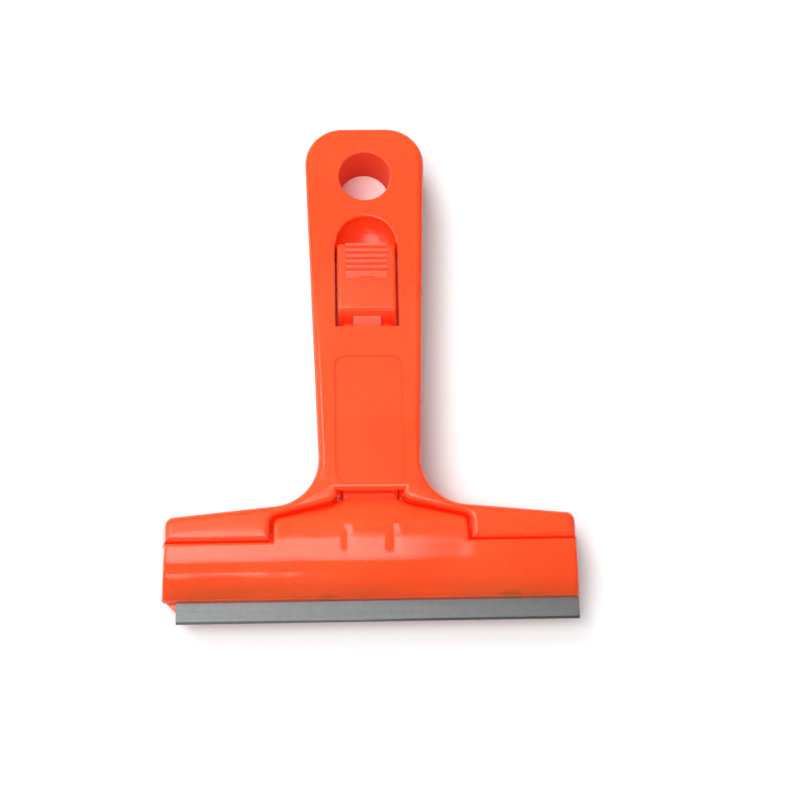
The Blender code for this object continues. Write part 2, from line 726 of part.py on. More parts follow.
def lever_bottom():
    """Side profile of the lever's rear rim as (y, z), from the button's end back to the jaw's lip."""
    at_pivot = TONGUE_HEIGHT - CHANNEL_DEPTH_AT_PIVOT
    along_tongue = TONGUE_HEIGHT - CHANNEL_DEPTH
    return [
        (BUTTON_END_Y + OVERRUN, BUTTON_TOP - BUTTON_SKIRT),
        (SLOT_Y + BUTTON_FOOT, along_tongue),
        (PIVOT_Y + PIVOT_FROM_BRIDGE + BOSS_RADIUS, along_tongue),
        (PIVOT_Y + BOSS_RADIUS, at_pivot),
        (PIVOT_Y - BOSS_RADIUS, at_pivot),
        (BRIDGE_Y - SADDLE_FROM_BRIDGE / 2, JAW_UNDERSIDE),
        (LIP_Y - OVERRUN, JAW_UNDERSIDE),
    ]


def lever_hollow():
    """Cutter for the lever's open rear; the ribs taken off it stay standing."""
    rear = offset_corners(lever_rear_corners(), -LEVER_WALL)
    front = offset_corners(lever_front_corners(), -LEVER_WALL)
    sections = [(rear, -OVERRUN), (rear, JAW_UNDERSIDE), (front, CREST_HEIGHT)]
    sections.append((front, BUTTON_TOP + OVERRUN))
    hollow = lofted("lever_hollow", sections, SMALL_ARC_STEPS)
    ceiling = [(y, z - PLATE_THICKNESS) for y, z in lever_top()]
    floor = [(BUTTON_END_Y + OVERRUN, -OVERRUN * 2), (LIP_Y - OVERRUN, -OVERRUN * 2)]
    ceiling.insert(0, (LIP_Y - OVERRUN, ceiling[0][1]))
    under = across("under_plate", ceiling + floor, -HEAD_WIDTH, HEAD_WIDTH)
    combine(hollow, under, "INTERSECT")
    far = TONGUE_WIDTH / 2
    near = far - LEVER_WALL
    seam_low = (SEAM_Y, -OVERRUN * 2)
    bridge_high = (BRIDGE_Y, BUTTON_TOP)

    def channel_rib(name, side):
        return side_block(name, side, near, far, seam_low, bridge_high)

    for rib in both_sides("channel_rib", channel_rib):
        combine(hollow, rib, "DIFFERENCE")
    half = STIFFENER_THICKNESS / 2
    count = int((HEAD_WIDTH / 2 - LEVER_WALL) / STIFFENER_PITCH)
    lip_low = (LIP_Y, -OVERRUN * 2)
    seam_high = (SEAM_Y, BUTTON_TOP)
    for number in range(1, count + 1):
        middle = far + (number - 1 / 2) * STIFFENER_PITCH

        def jaw_rib(name, side, middle=middle):
            return side_block(name, side, middle - half, middle + half, lip_low, seam_high)

        if middle + half < HEAD_FRONT_WIDTH / 2 - LEVER_WALL:
            for rib in both_sides(f"jaw_rib_{number}", jaw_rib):
                combine(hollow, rib, "DIFFERENCE")
    return hollow


def sloped_ridge(name, high_y, width):
    """Ridge across the button's end, with a top that slopes down the button."""
    slope = (RIB_HEIGHT - LEDGE_LOW_HEIGHT) / LEDGE_WIDTH
    low_y = high_y - width
    root = BUTTON_TOP - PLATE_THICKNESS / 2
    crown = BUTTON_TOP + RIB_HEIGHT
    profile = [(low_y, root), (high_y, root), (high_y, crown), (low_y, crown - slope * width)]
    return across(name, profile, -RIB_LENGTH / 2, RIB_LENGTH / 2)


def grip_ribs():
    """Narrow ridges for the thumb."""
    ridges = []
    for number in range(RIB_COUNT):
        high_y = BUTTON_END_Y - RIB_FROM_END - number * RIB_PITCH
        ridges.append(sloped_ridge(f"grip_rib_{number + 1}", high_y, RIB_WIDTH))
    return ridges


def foot_ridge():
    """Fine bar across the button where its top turns down to the tongue, sloped on its lower side."""
    low_y = SLOT_Y + BUTTON_FOOT + BUTTON_SLOPE_RUN
    high_y = low_y + FOOT_RIDGE_WIDTH
    root = BUTTON_TOP - PLATE_THICKNESS / 2
    crown = BUTTON_TOP + FOOT_RIDGE_HEIGHT
    profile = [
        (low_y, root),
        (high_y, root),
        (high_y, crown),
        (low_y + FOOT_RIDGE_SLOPE_RUN, crown),
        (low_y, BUTTON_TOP + FOOT_RIDGE_LOW_HEIGHT),
    ]
    return across("foot_ridge", profile, -FOOT_RIDGE_LENGTH / 2, FOOT_RIDGE_LENGTH / 2)


def grip_ledge():
    """Broad ridge below the grip ribs, with a notch in its lower side."""
    high_y = BUTTON_END_Y - RIB_FROM_END - RIB_COUNT * RIB_PITCH
    low_y = high_y - LEDGE_WIDTH
    ledge = sloped_ridge("grip_ledge", high_y, LEDGE_WIDTH)
    notch = LEDGE_NOTCH_WIDTH / 2
    low = (-notch, low_y - OVERRUN, BUTTON_TOP - PLATE_THICKNESS)
    high = (notch, low_y + LEDGE_NOTCH_DEPTH, BUTTON_TOP + OVERRUN)
    return combine(ledge, block("ledge_notch", low, high), "DIFFERENCE")


def stop_tab():
    """Tab at the button's foot that comes up under the slot's lip, with a top that slopes to it."""
    half = TAB_WIDTH / 2
    low_y = SLOT_Y + STOP_LIP_REACH - TAB_REACH
    high_y = SLOT_Y + BUTTON_FOOT + PLATE_THICKNESS
    bottom = TONGUE_UNDERSIDE + PLATE_THICKNESS / 2
    top = TONGUE_HEIGHT + TAB_RISE
    profile = [(low_y, bottom), (high_y, bottom), (high_y, top), (low_y, top - TAB_FALL)]
    return across("tab", profile, -half, half)


def leg_slot():
    """Cutter through the tongue for the spring's leg that bears on the handle."""
    half = WIRE_RADIUS + SPRING_CLEARANCE
    middle = spring_half_length()
    low_y = PIVOT_Y - HANDLE_LEG_REACH - WIRE_RADIUS - SPRING_CLEARANCE
    low = (middle - half, low_y, TONGUE_UNDERSIDE - PLATE_THICKNESS)
    high = (middle + half, PIVOT_Y + coil_radius(), TONGUE_HEIGHT + OVERRUN)
    return block("leg_slot", low, high)


def make_lever():
    top = lever_top()
    clear_of_corners = SADDLE_CORNER_RADIUS + LEVER_EDGE_RADIUS
    stations = [y for y, _ in top]
    rear = along_sides(lever_rear_corners(), stations, clear_of_corners)
    front = along_sides(lever_front_corners(), stations, clear_of_corners)
    lever = draped_slab("clamp_lever", rear, JAW_UNDERSIDE, front, top, LEVER_EDGE_RADIUS)
    below = [(BUTTON_END_Y + OVERRUN, -OVERRUN), *lever_bottom(), (LIP_Y - OVERRUN, -OVERRUN)]
    combine(lever, across("under_lever", below, -HEAD_WIDTH, HEAD_WIDTH), "DIFFERENCE")
    combine(lever, lever_hollow(), "DIFFERENCE")
    for ridge in grip_ribs():
        combine(lever, ridge, "UNION")
    combine(lever, grip_ledge(), "UNION")
    combine(lever, foot_ridge(), "UNION")
    combine(lever, stop_tab(), "UNION")
    combine(lever, leg_slot(), "DIFFERENCE")
    bore_ring = circle((PIVOT_Y, PIVOT_HEIGHT), BORE_RADIUS)
    combine(lever, across("lever_bore", bore_ring, -TONGUE_WIDTH, TONGUE_WIDTH), "DIFFERENCE")
    material = make_material("lever_plastic", ORANGE, 0.26, 0)
    return finish(lever, "clamp_lever", material, PIVOT)


def make_blade():
    """Flat strip with one long edge ground from the front."""
    top = BLADE_Z + BLADE_THICKNESS
    profile = [
        (EDGE_Y, BLADE_Z),
        (BLADE_BACK_Y, BLADE_Z),
        (BLADE_BACK_Y, top),
        (EDGE_Y + BLADE_GROUND_WIDTH, top),
        (EDGE_Y, BLADE_Z + BLADE_EDGE_THICKNESS),
    ]
    half = BLADE_LENGTH / 2
    blade = across("blade", profile, BLADE_SIDE_SHIFT - half, BLADE_SIDE_SHIFT + half)
    material = make_material("blade_steel", STEEL, 0.38, 1)
    return finish(blade, "scraper_blade", material, Vector((0, STOP_Y, SEAT_HEIGHT)), BLADE_SMOOTH_ANGLE)


def handle_half_width(y):
    """Half the grip's width between its neck and its top."""
    low_y = shoulder_line(GRIP_NECK_WIDTH / 2)
    share = (y - low_y) / (TOP_Y - low_y)
    return (GRIP_NECK_WIDTH + (GRIP_TOP_WIDTH - GRIP_NECK_WIDTH) * share) / 2


def make_pin():
    """Steel pin through both side walls, the lever and the spring."""
    half = handle_half_width(PIVOT_Y) - PIN_RECESS
    rings = []
    for x, radius in (
        (-half, PIN_RADIUS - PIN_CHAMFER),
        (-half + PIN_CHAMFER, PIN_RADIUS),
        (half - PIN_CHAMFER, PIN_RADIUS),
        (half, PIN_RADIUS - PIN_CHAMFER),
    ):
        rings.append([(x, y, z) for y, z in circle((PIVOT_Y, PIVOT_HEIGHT), radius)])
    pin = stacked("pin", rings)
    material = make_material("pin_steel", WIRE_STEEL, 0.30, 1)
    return finish(pin, "hinge_pin", material, PIVOT)


def coil_radius():
    """The coil's wire runs just under the tongue's plate."""
    return TONGUE_UNDERSIDE - SPRING_CLEARANCE - WIRE_RADIUS - PIVOT_HEIGHT


def handle_leg_tip():
    """Tip of the leg that bears on the handle's front wall, from the pivot, as (y, z)."""
    return Vector((-HANDLE_LEG_REACH, FRONT_UNDERSIDE - SPRING_CLEARANCE - WIRE_RADIUS - PIVOT_HEIGHT))


def coil_start_angle():
    """Where a straight leg from the handle's side meets the coil's round, seen along X."""
    tip = handle_leg_tip()
    bearing = math.atan2(tip.y, tip.x)
    return bearing - math.acos(coil_radius() / tip.length)


def spring_sweep():
    """The coil turns from the handle's leg round to the lever's leg, which leaves it at the top."""
    return 2 * math.pi * SPRING_TURNS + coil_start_angle() - math.pi / 2


def spring_half_length():
    return SPRING_PITCH * spring_sweep() / (2 * math.pi) / 2


def spring_points():
    """Middle line of the wire: the handle's leg, the coil round the pin and the lever's leg."""
    radius = coil_radius()
    half = spring_half_length()
    start = coil_start_angle()
    sweep = spring_sweep()
    tip = handle_leg_tip()
    points = [PIVOT + Vector((half, tip.x, tip.y))]
    steps = math.ceil(SPRING_POINTS_PER_TURN * sweep / (2 * math.pi))
    for step in range(steps + 1):
        angle = start - sweep * step / steps
        x = half - 2 * half * step / steps
        points.append(PIVOT + Vector((x, radius * math.cos(angle), radius * math.sin(angle))))
    points.append(PIVOT + Vector((-half, LEVER_LEG_LENGTH, radius)))
    return points


def least_self_gap(points):
    """Least gap between points of the wire that lie more than half a turn apart."""
    apart = SPRING_POINTS_PER_TURN // 2 + 1
    least = math.inf
    for index, point in enumerate(points):
        for other in points[index + apart:]:
            least = min(least, (point - other).length - 2 * WIRE_RADIUS)
    return least


def make_spring():
    """Torsion spring on the pin: one leg bears on the handle, the other holds the jaw closed."""
    points = spring_points()
    curve = bpy.data.curves.new("torsion_spring", "CURVE")
    curve.dimensions = "3D"
    curve.bevel_depth = WIRE_RADIUS
    curve.bevel_resolution = 1
    curve.use_fill_caps = True
    spline = curve.splines.new("POLY")
    spline.points.add(len(points) - 1)
    for slot, point in zip(spline.points, points):
        slot.co = (*(point - PIVOT), 1)
        slot.radius = 1
    spline.use_smooth = True
    spring = bpy.data.objects.new("torsion_spring", curve)
    bpy.context.scene.collection.objects.link(spring)
    spring.location = PIVOT
    curve.materials.append(make_material("spring_steel", WIRE_STEEL, 0.25, 1))
    print(f"least gap of the spring to itself: {least_self_gap(points) * 1000:.2f} mm")
    return spring


def main():
    clear_scene()
    make_handle()
    make_lever()
    make_blade()
    make_pin()
    make_spring()


main()
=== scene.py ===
"""Looks of the hand scraper: finishes, fine surface forms, floor, lights and camera."""

import math

import bmesh
import bpy
from mathutils import Matrix, Vector


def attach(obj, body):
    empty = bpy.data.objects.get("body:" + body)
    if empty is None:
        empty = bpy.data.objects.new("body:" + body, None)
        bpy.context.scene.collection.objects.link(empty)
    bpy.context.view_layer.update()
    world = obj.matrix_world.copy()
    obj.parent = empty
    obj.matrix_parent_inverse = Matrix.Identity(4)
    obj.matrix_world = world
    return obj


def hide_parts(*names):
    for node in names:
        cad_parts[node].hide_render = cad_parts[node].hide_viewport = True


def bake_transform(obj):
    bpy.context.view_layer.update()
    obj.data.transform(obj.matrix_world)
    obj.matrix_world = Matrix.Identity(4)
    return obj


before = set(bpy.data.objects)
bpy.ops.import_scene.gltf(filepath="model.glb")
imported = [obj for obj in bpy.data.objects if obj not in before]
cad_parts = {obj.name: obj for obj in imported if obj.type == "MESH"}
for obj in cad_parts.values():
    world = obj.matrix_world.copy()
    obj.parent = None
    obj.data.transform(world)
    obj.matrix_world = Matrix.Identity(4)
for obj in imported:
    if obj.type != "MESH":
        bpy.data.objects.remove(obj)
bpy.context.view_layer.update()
MM = 0.001

# The camera stands where the photograph was taken from
CAMERA_PLACE = Vector((-10.5355, -125.3094, 401.0425)) * MM
CAMERA_RIGHT = Vector((0.998904, -0.023168, 0.040668))
CAMERA_UP = Vector((0.010606, 0.958341, 0.285429))
LENS_MM = 72
SENSOR_MM = 36
CLIP_START = 10 * MM
CLIP_END = 20

# Softboxes: name, place, aim, size (all in metres), power in watts, mirrored in gloss
SOFTBOXES = (
    ("overhead", (-0.335, -0.155, 1.0), (-0.335, -0.155, 0), (0.83, 0.59), 6.5, True),
    ("overhead_core", (-0.42, -0.155, 1.01), (-0.42, -0.155, 0), (0.66, 0.59), 1.3, True),
    ("strip", (-0.285, -0.735, 0.9), (-0.285, 0, 0), (0.47, 0.09), 0.63, True),
    ("halo", (-0.3, 0.58, 1.02), (-0.3, 0.58, 0), (1.2, 0.86), 0.6, True),
    ("halo_left", (-0.19, 0.19, 1.0), (-0.19, 0.19, 0), (0.22, 0.1), 0.07, True),
    ("upper_left", (-0.55, 0.95, 0.85), (0, 0, 0), (0.8, 0.6), 12, False),
    ("front", (0.1, -1.0, 0.55), (0, 0, 0), (0.9, 0.4), 1.2, False),
    ("overhead_left", (-0.55, 0.24, 1.0), (-0.55, 0.24, 0), (0.5, 0.24), 1.6, True),
    ("rim_left", (-1.15, -0.05, 0.62), (0, 0, 0), (1.1, 0.8), 2.2, True),
)
WORLD_STRENGTH = 0.34
WORLD_MIRRORED = 0.09

# The floor is seen pale, but the light that it throws back on the tool is warm
PAPER = (0.88, 0.88, 0.88)
PAPER_BOUNCE = (0.55, 0.26, 0.12)
PAPER_ROUGHNESS = 0.92
FLOOR_HALF_WIDTH = 2.5
FLOOR_BELOW = 0.05 * MM

# Colours, all linear
ORANGE = (1.0, 0.100, 0.027)
ORANGE_DEEP = (1.0, 0.082, 0.019)
# Painted shade for crevices, then the deep and light colours of a painted glow in narrow gaps
PAINTED_CREVICE_SHADE = (1.0, 0.030, 0.005)
PAINTED_GLOW_DEEP = (1.0, 0.012, 0.002)
PAINTED_GLOW_LIGHT = (1.0, 0.10, 0.022)
SCRATCH_COLOUR = (1.0, 0.30, 0.16)
# Painted reflection of the blade, brown, at the jaw's lip
PAINTED_BLADE_REFLECTION = (0.33, 0.085, 0.016)
# Painted highlight along the upper edges of the button's ridges
PAINTED_RIB_HIGHLIGHT = (1.0, 0.32, 0.18)
STEEL = (0.178, 0.184, 0.181)
WIRE_STEEL = (0.55, 0.55, 0.56)

# Finish of the plastic: its gloss, and what each kind of wear adds to the roughness
GLOSS_LOW, GLOSS_HIGH = 0.07, 0.11
# Extra roughness where the blade's reflection is painted at the lip
LIP_ROUGHNESS = 0.1
TEXTURE_ROUGHNESS = 0.22
SCOOP_ROUGHNESS = 0.24
HOLE_ROUGHNESS = 0.55
SCRATCH_ROUGHNESS = 0.25
SCRATCH_SHARE = 0.3
SCRATCH_HALF_WIDTH = 0.11 * MM
# Share of the painted highlight on the button's ridges
PAINTED_RIB_HIGHLIGHT_SHARE = 0.55
SWELL_DEPTH = 0.12 * MM
GRAIN_DEPTH = 0.004 * MM
SCRATCH_DEPTH = 0.01 * MM

# Crevices get painted shade (a deeper colour where the surface is closed in) and a painted red
# glow; light also passes through the plastic
WIDE_CREVICE = 8 * MM
NARROW_CREVICE = 3 * MM
PAINTED_GLOW_STRENGTH = 0.36
LIGHT_REACH = 3.2 * MM
LIGHT_REACH_BY_COLOUR = (1.0, 0.12, 0.04)
LIGHT_SHARE = 0.85
PLASTIC_IOR = 1.45

# Places on the tool that the wear, the painted light and the surface forms hang on
HOLE_Y = 51.025 * MM
HOLE_RADIUS = 6.75 * MM
SCOOP_PLACE = Vector((0, 31.875, 11)) * MM
SCOOP_REACH = 11 * MM
BUTTON_LOW_Y = 8.5 * MM
RIB_TOP_Y = 31.725 * MM
RIB_PITCH = 1.55 * MM
RIB_HALF_LENGTH = 5.35 * MM
RIB_EDGE = 0.1 * MM
JAW_LIP_Y = -59.875 * MM
JAW_SEAM_Y = -46.175 * MM
JAW_HALF_WIDTH = 52 * MM
SADDLE_HALF_WIDTH = 24.1 * MM

# Sink marks, the sunk middle and the slow waves of the front jaw
RELIEF_TOP_Y = -38 * MM
RELIEF_LEAST_Z = 8 * MM
SINK_PLACES = (-5.7 * MM, 5.7 * MM)
SINK_DEPTHS = (0.15 * MM, 0.24 * MM)
SINK_HALF_WIDTH = 1.3 * MM
SINK_LOW_Y = JAW_SEAM_Y - 3.2 * MM
SINK_HIGH_Y = -41.5 * MM
MIDDLE_DROP = 0.07 * MM
WAVE_DEPTH = 0.03 * MM

# The wound spring round the hinge pin
HINGE_PLACE = Vector((0, -22.125, 6.5)) * MM
COIL_RADIUS = 2.5 * MM
COIL_TURNS = 4
COIL_PITCH = 1.5 * MM
COIL_STEPS = 36
WIRE_RADIUS = 0.49 * MM
LEG_TIP = (-8.5 * MM, 6.0 * MM)
LEVER_LEG = 12 * MM

SMOOTH_ANGLE = math.radians(35)

# Fine scratches: middle (x, y) in mm, direction in degrees, half length in mm
LEVER_SCRATCHES = (
    ((-10.6, -54.0), 62, 1.4),
    ((20.5, -54.4), 44, 2.2),
    ((-14.2, -52.6), 20, 0.6),
    ((-2.8, -52.4), 88, 1.0),
    ((33.0, -52.6), 70, 1.1),
    ((2.0, 19.0), 18, 1.0),
)
HANDLE_SCRATCHES = (
    ((0.0, -22.6), 8, 1.6),
    ((-11.8, -24.6), 62, 1.8),
    ((-10.2, -26.2), 115, 0.8),
    ((-11.6, -30.6), -6, 1.4),
    ((0.6, 1.2), -38, 2.4),
    ((11.2, 12.8), 80, 1.4),
)

# Spots where the painted brown reflection of the blade at the jaw's lip is stronger: middle and
# reach along each axis, in mm
LIP_REFLECTION_SPOTS = (
    ((-10.5, -59.3, 8.6), (7.5, 2.4, 4)),
    ((34.5, -59.0, 8.6), (8.5, 2.6, 4)),
    ((-31.0, -60.2, 8.2), (5.0, 2.0, 4)),
    ((12.0, -60.2, 8.2), (4.5, 1.8, 4)),
)


def place_camera():
    data = bpy.data.cameras.new("camera")
    data.lens = LENS_MM
    data.sensor_width = SENSOR_MM
    data.clip_start = CLIP_START
    data.clip_end = CLIP_END
    camera = bpy.data.objects.new("camera", data)
    bpy.context.scene.collection.objects.link(camera)
    turn = Matrix((CAMERA_RIGHT, CAMERA_UP, CAMERA_RIGHT.cross(CAMERA_UP))).transposed()
    camera.matrix_world = Matrix.Translation(CAMERA_PLACE) @ turn.to_4x4()
    bpy.context.scene.camera = camera


class Graph:
    """A material's node tree, with one short call for each kind of node."""

    def __init__(self, name):
        self.material = bpy.data.materials.new(name)
        self.material.use_nodes = True
        self.tree = self.material.node_tree
        self.shader = self.tree.nodes["Principled BSDF"]
        self.place = self.tree.nodes.new("ShaderNodeTexCoord").outputs["Object"]

    def join(self, value, socket):
        if isinstance(value, bpy.types.NodeSocket):
            self.tree.links.new(value, socket)
        elif isinstance(value, (tuple, list)) and len(value) == 3 and socket.type == "RGBA":
            socket.default_value = (*value, 1)
        else:
            socket.default_value = value

    def joined(self, kind, values, **settings):
        """A new node with its settings, and values or links on its first sockets."""
        node = self.tree.nodes.new(kind)
        for setting, value in settings.items():
            setattr(node, setting, value)
        for value, socket in zip(values, node.inputs):
            self.join(value, socket)
        return node

    def math(self, operation, *values):
        return self.joined("ShaderNodeMath", values, operation=operation).outputs[0]

    def times(self, first, second):
        return self.math("MULTIPLY", first, second)

    def plus(self, first, second):
        return self.math("ADD", first, second)

    def vector(self, operation, *values):
        return self.joined("ShaderNodeVectorMath", values, operation=operation).outputs

    def axis(self, index):
        return self.joined("ShaderNodeSeparateXYZ", (self.place,)).outputs[index]

    def ramp(self, value, low, high, to_low=0.0, to_high=1.0):
        values = (value, low, high, to_low, to_high)
        return self.joined("ShaderNodeMapRange", values, interpolation_type="SMOOTHSTEP").outputs[0]

    def scaled(self, x, y, z):
        return self.vector("MULTIPLY", self.place, (x, y, z))[0]

    def noise(self, scale, detail=2.0, place=None, roughness=0.5):
        node = self.tree.nodes.new("ShaderNodeTexNoise")
        self.join(place or self.place, node.inputs["Vector"])
        node.inputs["Scale"].default_value = scale
        node.inputs["Detail"].default_value = detail
        node.inputs["Roughness"].default_value = roughness
        return node.outputs["Fac"]

    def mix(self, share, first, second):
        node = self.joined("ShaderNodeMix", (share,), data_type="RGBA")
        self.join(first, node.inputs[6])
        self.join(second, node.inputs[7])
        return node.outputs[2]

    def reach(self, start, direction):
        """Signed distance from a place along a direction."""
        offset = self.vector("SUBTRACT", self.place, start)[0]
        return self.vector("DOT_PRODUCT", offset, direction)["Value"]

    def spot(self, centre, reach):
        """1 at a place, falling to 0 over a reach that differs by axis."""
        offset = self.vector("SUBTRACT", self.place, centre)[0]
        shrunk = self.vector("DIVIDE", offset, reach)[0]
        return self.ramp(self.vector("LENGTH", shrunk)["Value"], 0.0, 1.0, 1.0, 0.0)

    def bump(self, height, distance, strength=1.0, under=None):
        node = self.tree.nodes.new("ShaderNodeBump")
        node.inputs["Strength"].default_value = strength
        node.inputs["Distance"].default_value = distance
        self.join(height, node.inputs["Height"])
        if under:
            self.join(under, node.inputs["Normal"])
        return node.outputs[0]

    def openness(self, distance):
        """1 where the surface lies open, towards 0 down in a narrow gap."""
        node = self.tree.nodes.new("ShaderNodeAmbientOcclusion")
        node.samples = 4
        node.inputs["Distance"].default_value = distance
        return node.outputs["AO"]

    def ray(self, kind):
        return self.tree.nodes.new("ShaderNodeLightPath").outputs[kind]

    def finish(self, **sockets):
        for name, value in sockets.items():
            self.join(value, self.shader.inputs[name.replace("_", " ")])
        return self.material


def scratches(graph, lines):
    """1 along each thin line, given by its middle, its direction and its half length."""
    total = None
    for (x, y), degrees, half_length in lines:
        turn = math.radians(degrees)
        along = Vector((math.cos(turn), math.sin(turn), 0))
        side = Vector((-math.sin(turn), math.cos(turn), 0))
        start = Vector((x, y, 0)) * MM
        far = graph.math("ABSOLUTE", graph.reach(start, along))
        off = graph.math("ABSOLUTE", graph.reach(start, side))
        taper = graph.ramp(far, half_length * 0.3 * MM, half_length * MM, 1.0, 0.0)
        line = graph.times(taper, graph.ramp(off, 0.0, SCRATCH_HALF_WIDTH, 1.0, 0.0))
        total = line if total is None else graph.math("MAXIMUM", total, line)
    broken = graph.ramp(graph.noise(700, 2), 0.35, 0.55, 0.25, 1.0)
    return graph.times(total, broken)


def hole_wall(graph):
    """1 on the wall of the hanging hole, 0 on the surfaces round it."""
    along = graph.math("SUBTRACT", graph.axis(1), HOLE_Y)
    square = graph.times(along, along)
    square = graph.math("MULTIPLY_ADD", graph.axis(0), graph.axis(0), square)
    from_axis = graph.math("SQRT", square)
    return graph.ramp(from_axis, HOLE_RADIUS + 0.1 * MM, HOLE_RADIUS + 0.6 * MM, 1.0, 0.0)


def rib_painted_highlight(graph):
    """1 along the upper edge of each ridge on the button, where a highlight is painted."""
    from_top = graph.math("SUBTRACT", RIB_TOP_Y, graph.axis(1))
    phase = graph.math("DIVIDE", graph.plus(from_top, RIB_EDGE), RIB_PITCH)
    line = graph.ramp(graph.math("FRACT", phase), 0.0, 0.2, 1.0, 0.0)
    out_from_middle = graph.math("ABSOLUTE", graph.axis(0))
    inside = graph.ramp(out_from_middle, RIB_HALF_LENGTH, RIB_HALF_LENGTH + RIB_EDGE, 1.0, 0.0)
    above = graph.ramp(from_top, 5.3 * RIB_PITCH, 5.4 * RIB_PITCH, 1.0, 0.0)
    return graph.times(line, graph.times(inside, above))


def lip_painted_reflection(graph):
    """The share of a painted brown reflection of the blade near the jaw's lip, in clouds and spots.
    """
    near_lip = graph.ramp(graph.axis(1), JAW_LIP_Y, JAW_LIP_Y + 6.5 * MM, 1.0, 0.0)
    cloud = graph.ramp(graph.noise(90, 4, graph.scaled(0.35, 1.4, 1)), 0.3, 0.7, 0.25, 0.62)
    lip_reflection_share = graph.times(near_lip, cloud)
    for centre, reach in LIP_REFLECTION_SPOTS:
        spot = graph.spot(Vector(centre) * MM, Vector(reach) * MM)
        reflection_spot = graph.times(spot, graph.ramp(cloud, 0.2, 0.6, 0.45, 0.9))
        lip_reflection_share = graph.math("MAXIMUM", lip_reflection_share, reflection_spot)
    return lip_reflection_share


def lever_wear_and_painted_light(graph, colour, rough):
    """A painted reflection of the blade at the jaw's lip, the textured button and painted
    highlights on its ridges: colour, roughness and evenness.
    """
    lip_reflection_share = lip_painted_reflection(graph)
    # Painted reflection of the blade: the colour browns towards the jaw's lip
    colour = graph.mix(lip_reflection_share, colour, PAINTED_BLADE_REFLECTION)
    rough = graph.plus(rough, graph.times(lip_reflection_share, LIP_ROUGHNESS))
    textured = graph.ramp(graph.axis(1), BUTTON_LOW_Y, BUTTON_LOW_Y + 1 * MM)
    rough = graph.plus(rough, graph.times(textured, TEXTURE_ROUGHNESS))
    # Painted highlight: a lighter orange along the upper edge of each ridge on the button
    colour = graph.mix(graph.times(rib_painted_highlight(graph), PAINTED_RIB_HIGHLIGHT_SHARE), colour, PAINTED_RIB_HIGHLIGHT)
    return colour, rough, graph.math("SUBTRACT", 1.0, textured)


def handle_wear(graph, colour, rough):
    """The thumbed scoop and the hole's wall: colour, roughness and evenness."""
    thumbed = graph.spot(SCOOP_PLACE, (SCOOP_REACH, SCOOP_REACH, SCOOP_REACH))
    rough = graph.plus(rough, graph.times(thumbed, SCOOP_ROUGHNESS))
    rough = graph.plus(rough, graph.times(hole_wall(graph), HOLE_ROUGHNESS))
    return colour, rough, 1.0


def painted_crevice_shade_and_glow(graph, colour):
    """The colour with painted shade in its crevices, and the colour and strength of a painted glow
    there.
    """
    # Painted shade: the colour deepens to dark red where the surface is closed in, fully within the
    # saddle's width and a tenth as much beyond it
    out_from_middle = graph.math("ABSOLUTE", graph.axis(0))
    near, far = SADDLE_HALF_WIDTH + 0.5 * MM, SADDLE_HALF_WIDTH + 3 * MM
    painted_shade_share_across = graph.ramp(out_from_middle, near, far, 1.0, 0.1)
    wide = graph.openness(WIDE_CREVICE)
    shaded = graph.times(graph.ramp(wide, 0.3, 0.95, 0.95, 0.0), painted_shade_share_across)
    colour = graph.mix(shaded, colour, PAINTED_CREVICE_SHADE)
    # Painted glow: a red emission in narrow gaps, redder in the narrowest
    narrow = graph.openness(NARROW_CREVICE)
    painted_glow = graph.ramp(narrow, 0.03, 0.45, PAINTED_GLOW_STRENGTH, 0.0)
    painted_glow = graph.times(painted_glow, graph.ramp(narrow, 0.02, 0.2, 0.4, 1.0))
    painted_glow_colour = graph.mix(graph.ramp(narrow, 0.05, 0.3), PAINTED_GLOW_DEEP, PAINTED_GLOW_LIGHT)
    return colour, painted_glow_colour, painted_glow


def plastic(name, wear_and_painted_light, lines):
    """Glossy moulded plastic with its own wear and fine scratches, the painted light its wear
    function adds, and painted shade and a painted glow in its crevices.
    """
    graph = Graph(name)
    tone = graph.ramp(graph.noise(28, 3), 0.35, 0.65)
    colour = graph.mix(tone, ORANGE, ORANGE_DEEP)
    marks = scratches(graph, lines)
    colour = graph.mix(graph.times(marks, SCRATCH_SHARE), colour, SCRATCH_COLOUR)
    rough = graph.ramp(graph.noise(45, 4), 0.3, 0.7, GLOSS_LOW, GLOSS_HIGH)
    colour, rough, even = wear_and_painted_light(graph, colour, rough)
    rough = graph.plus(rough, graph.times(marks, SCRATCH_ROUGHNESS))
    swell = graph.bump(graph.times(graph.noise(60, 1), even), SWELL_DEPTH, 0.5)
    grain = graph.bump(graph.noise(900, 3), GRAIN_DEPTH, 0.6, swell)
    normal = graph.bump(marks, SCRATCH_DEPTH, 0.5, grain)
    # Painted shade and a painted red glow in the crevices
    colour, painted_glow_colour, painted_glow = painted_crevice_shade_and_glow(graph, colour)
    return graph.finish(
        Base_Color=colour, Roughness=rough, Normal=normal, IOR=PLASTIC_IOR,
        Subsurface_Weight=LIGHT_SHARE, Subsurface_Radius=LIGHT_REACH_BY_COLOUR,
        Subsurface_Scale=LIGHT_REACH, Emission_Color=painted_glow_colour, Emission_Strength=painted_glow,
    )


